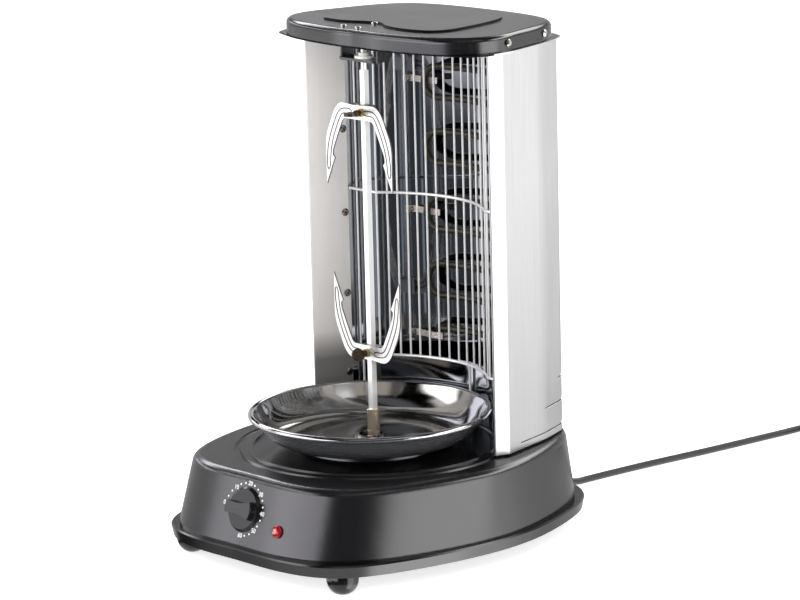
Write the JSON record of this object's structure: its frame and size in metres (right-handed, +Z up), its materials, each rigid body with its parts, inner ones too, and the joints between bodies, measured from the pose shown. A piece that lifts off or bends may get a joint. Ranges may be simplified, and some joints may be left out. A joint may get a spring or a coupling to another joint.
{
  "type": "vertical rotisserie grill",
  "caption": "Tabletop vertical rotisserie for doner kebab: a motor turns a forked skewer over a drip pan in front of a guarded heating element and reflector.",
  "frame": {"origin": "centre of the machine's footprint box, on the table under its feet, cord left out", "axes": "+Z up along the spindle, front with the dial towards -Y, +X to the right seen from the front"},
  "size_m": [0.3295, 0.8343, 0.4804],
  "materials": {
    "base_black": "satin black moulding, soft reflections",
    "tray_black": "matt black moulding",
    "lid_black": "satin black enamel",
    "foot_rubber": "semi-gloss black rubber",
    "stainless": "vertical brushed",
    "polished_sheet": "polished sheet with a fine vertical grain",
    "polished_round": "polished",
    "fork_steel": "polished",
    "guard_wire": "bright drawn wire",
    "element_oxide": "dark olive heat oxide",
    "screw_steel": "bright zinc plate",
    "clip_steel": "bright strip",
    "plated_yellow": "yellow passivated, threaded",
    "thumb_brown": "dark brown plating",
    "knob_black": "satin black moulding",
    "lamp_red": "translucent red",
    "inner_grey": "moulded",
    "gear_steel": "plain steel",
    "bush_brass": "turned",
    "ceramic_white": "porcelain",
    "lead_sleeve": "glass-fibre sleeve",
    "cord_black": "black flexible sheath",
    "pin_metal": "nickel plate"
  },
  "bodies": {
    "base": {"base_cover": "base_black", "base_tray": "tray_black", "tray_screws": "screw_steel", "rubber_feet": "foot_rubber", "foot_screws": "screw_steel", "gearbox": "gear_steel", "motor_can": "gear_steel", "motor_bracket": "gear_steel", "motor_screws": "screw_steel", "shaft_bush": "bush_brass", "timer_body": "inner_grey", "lamp_lens": "lamp_red", "lamp_body": "inner_grey", "terminal_block": "ceramic_white", "terminal_screws": "bush_brass", "cord_gland": "cord_black", "power_cord": "cord_black", "cord_coil": "cord_black", "power_cord_end": "cord_black", "plug_body": "cord_black", "plug_pins": "pin_metal", "right_side_panel": "stainless", "left_side_panel": "stainless", "rear_panel": "stainless", "rear_screws": "screw_steel", "reflector": "polished_sheet", "reflector_screws": "screw_steel", "lower_deflector": "polished_sheet", "wire_guard": "guard_wire", "heating_element": "element_oxide", "element_terminals": "ceramic_white", "element_clips": "clip_steel", "clip_screws": "screw_steel", "lid_cover": "lid_black", "top_plate": "stainless", "lid_screws": "screw_steel", "bearing_bracket": "lid_black", "bearing_bush": "ceramic_white", "bracket_screws": "screw_steel", "inner_leads": "lead_sleeve"},
    "drive": {"drive_hub": "polished_round"},
    "skewer": {"skewer_bar": "polished_round"},
    "upper_fork": {"upper_fork": "fork_steel", "upper_collar": "plated_yellow"},
    "upper_screw": {"upper_thumbscrew": "thumb_brown"},
    "lower_fork": {"lower_fork": "fork_steel", "lower_collar": "plated_yellow"},
    "lower_screw": {"lower_thumbscrew": "thumb_brown"},
    "pan": {"drip_pan": "polished_sheet"},
    "timer": {"timer_knob": "knob_black", "timer_shaft": "gear_steel"}
  },
  "joints": [
    {"name": "hub_spin", "type": "hinge", "parent": "base", "child": "drive", "pos_m": [0, -0.00945, 0.1], "axis": [0, 0, 1], "continuous": true},
    {"name": "skewer_lift", "type": "slide", "parent": "drive", "child": "skewer", "axis": [0, 0, 1], "range_m": [0, 0.008]},
    {"name": "upper_fork_slide", "type": "slide", "parent": "skewer", "child": "upper_fork", "axis": [0, 0, 1], "range_m": [-0.035, 0.028]},
    {"name": "upper_screw_turn", "type": "hinge", "parent": "upper_fork", "child": "upper_screw", "pos_m": [0.0009, -0.02, 0.4026], "axis": [0, -1, 0], "range_deg": [0, 360]},
    {"name": "lower_fork_slide", "type": "slide", "parent": "skewer", "child": "lower_fork", "axis": [0, 0, 1], "range_m": [-0.018, 0.035]},
    {"name": "lower_screw_turn", "type": "hinge", "parent": "lower_fork", "child": "lower_screw", "pos_m": [0.0006, -0.02, 0.1794], "axis": [0, -1, 0], "range_deg": [0, 360]},
    {"name": "pan_lift", "type": "slide", "parent": "base", "child": "pan", "axis": [0, 0, 1], "range_m": [0, 0.02]},
    {"name": "timer_turn", "type": "hinge", "parent": "base", "child": "timer", "pos_m": [0, -0.16997, 0.0627], "axis": [0, 0.9509, -0.3095], "range_deg": [0, 265]}
  ]
}
